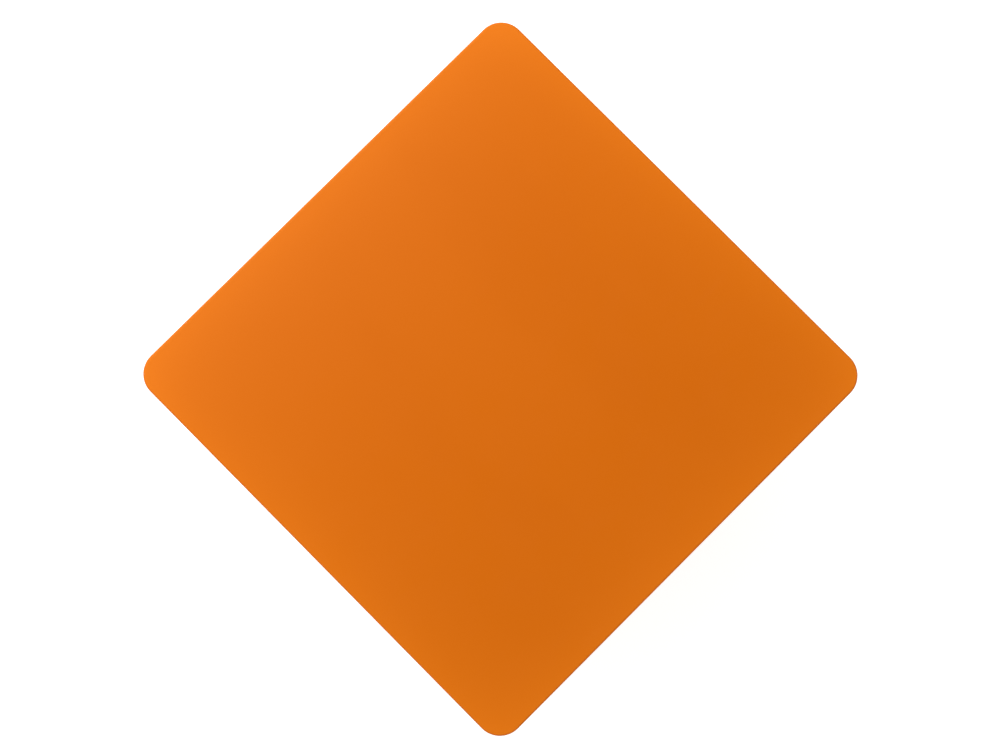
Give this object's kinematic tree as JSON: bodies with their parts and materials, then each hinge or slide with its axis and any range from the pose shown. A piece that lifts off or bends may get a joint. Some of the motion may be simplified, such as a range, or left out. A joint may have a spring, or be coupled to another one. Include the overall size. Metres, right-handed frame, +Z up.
{
  "type": "mortar hawk",
  "caption": "Square moulded plate with rounded corners on an upright screw-off grip handle, for carrying mortar, plaster or roofing cement.",
  "frame": {"origin": "centre of the handle's foot, on the surface that the hawk stands on", "axes": "+Z up along the handle and out of the plate's working face, with the plate's sides along X and Y"},
  "size_m": [0.33, 0.33, 0.1385],
  "materials": {
    "plate": "satin",
    "threaded_insert": "satin",
    "guard_pad": "matte",
    "thrust_washer": "satin",
    "bolt_retainer": "satin",
    "handle_core": "satin",
    "grip_sleeve": "matte",
    "handle_bolt": "satin",
    "spring_washer": "satin",
    "end_cap": "satin"
  },
  "bodies": {
    "plate": {"plate": "plate", "threaded_insert": "threaded_insert"},
    "pad": {"guard_pad": "guard_pad", "thrust_washer": "thrust_washer"},
    "handle": {"handle_core": "handle_core", "grip_sleeve": "grip_sleeve", "handle_bolt": "handle_bolt", "spring_washer": "spring_washer", "bolt_retainer": "bolt_retainer", "end_cap": "end_cap"}
  },
  "joints": [
    {"name": "handle_travel", "type": "slide", "parent": "plate", "child": "pad", "axis": [0, 0, -1], "range_m": [0, 0.01225]},
    {"name": "handle_turn", "type": "hinge", "parent": "pad", "child": "handle", "pos_m": [0, 0, 0.12], "axis": [0, 0, -1], "range_deg": [0, 2520]}
  ],
  "couplings": [
    {"joint": "handle_turn", "follows": "handle_travel", "rad_per_m": 3590.4}
  ]
}
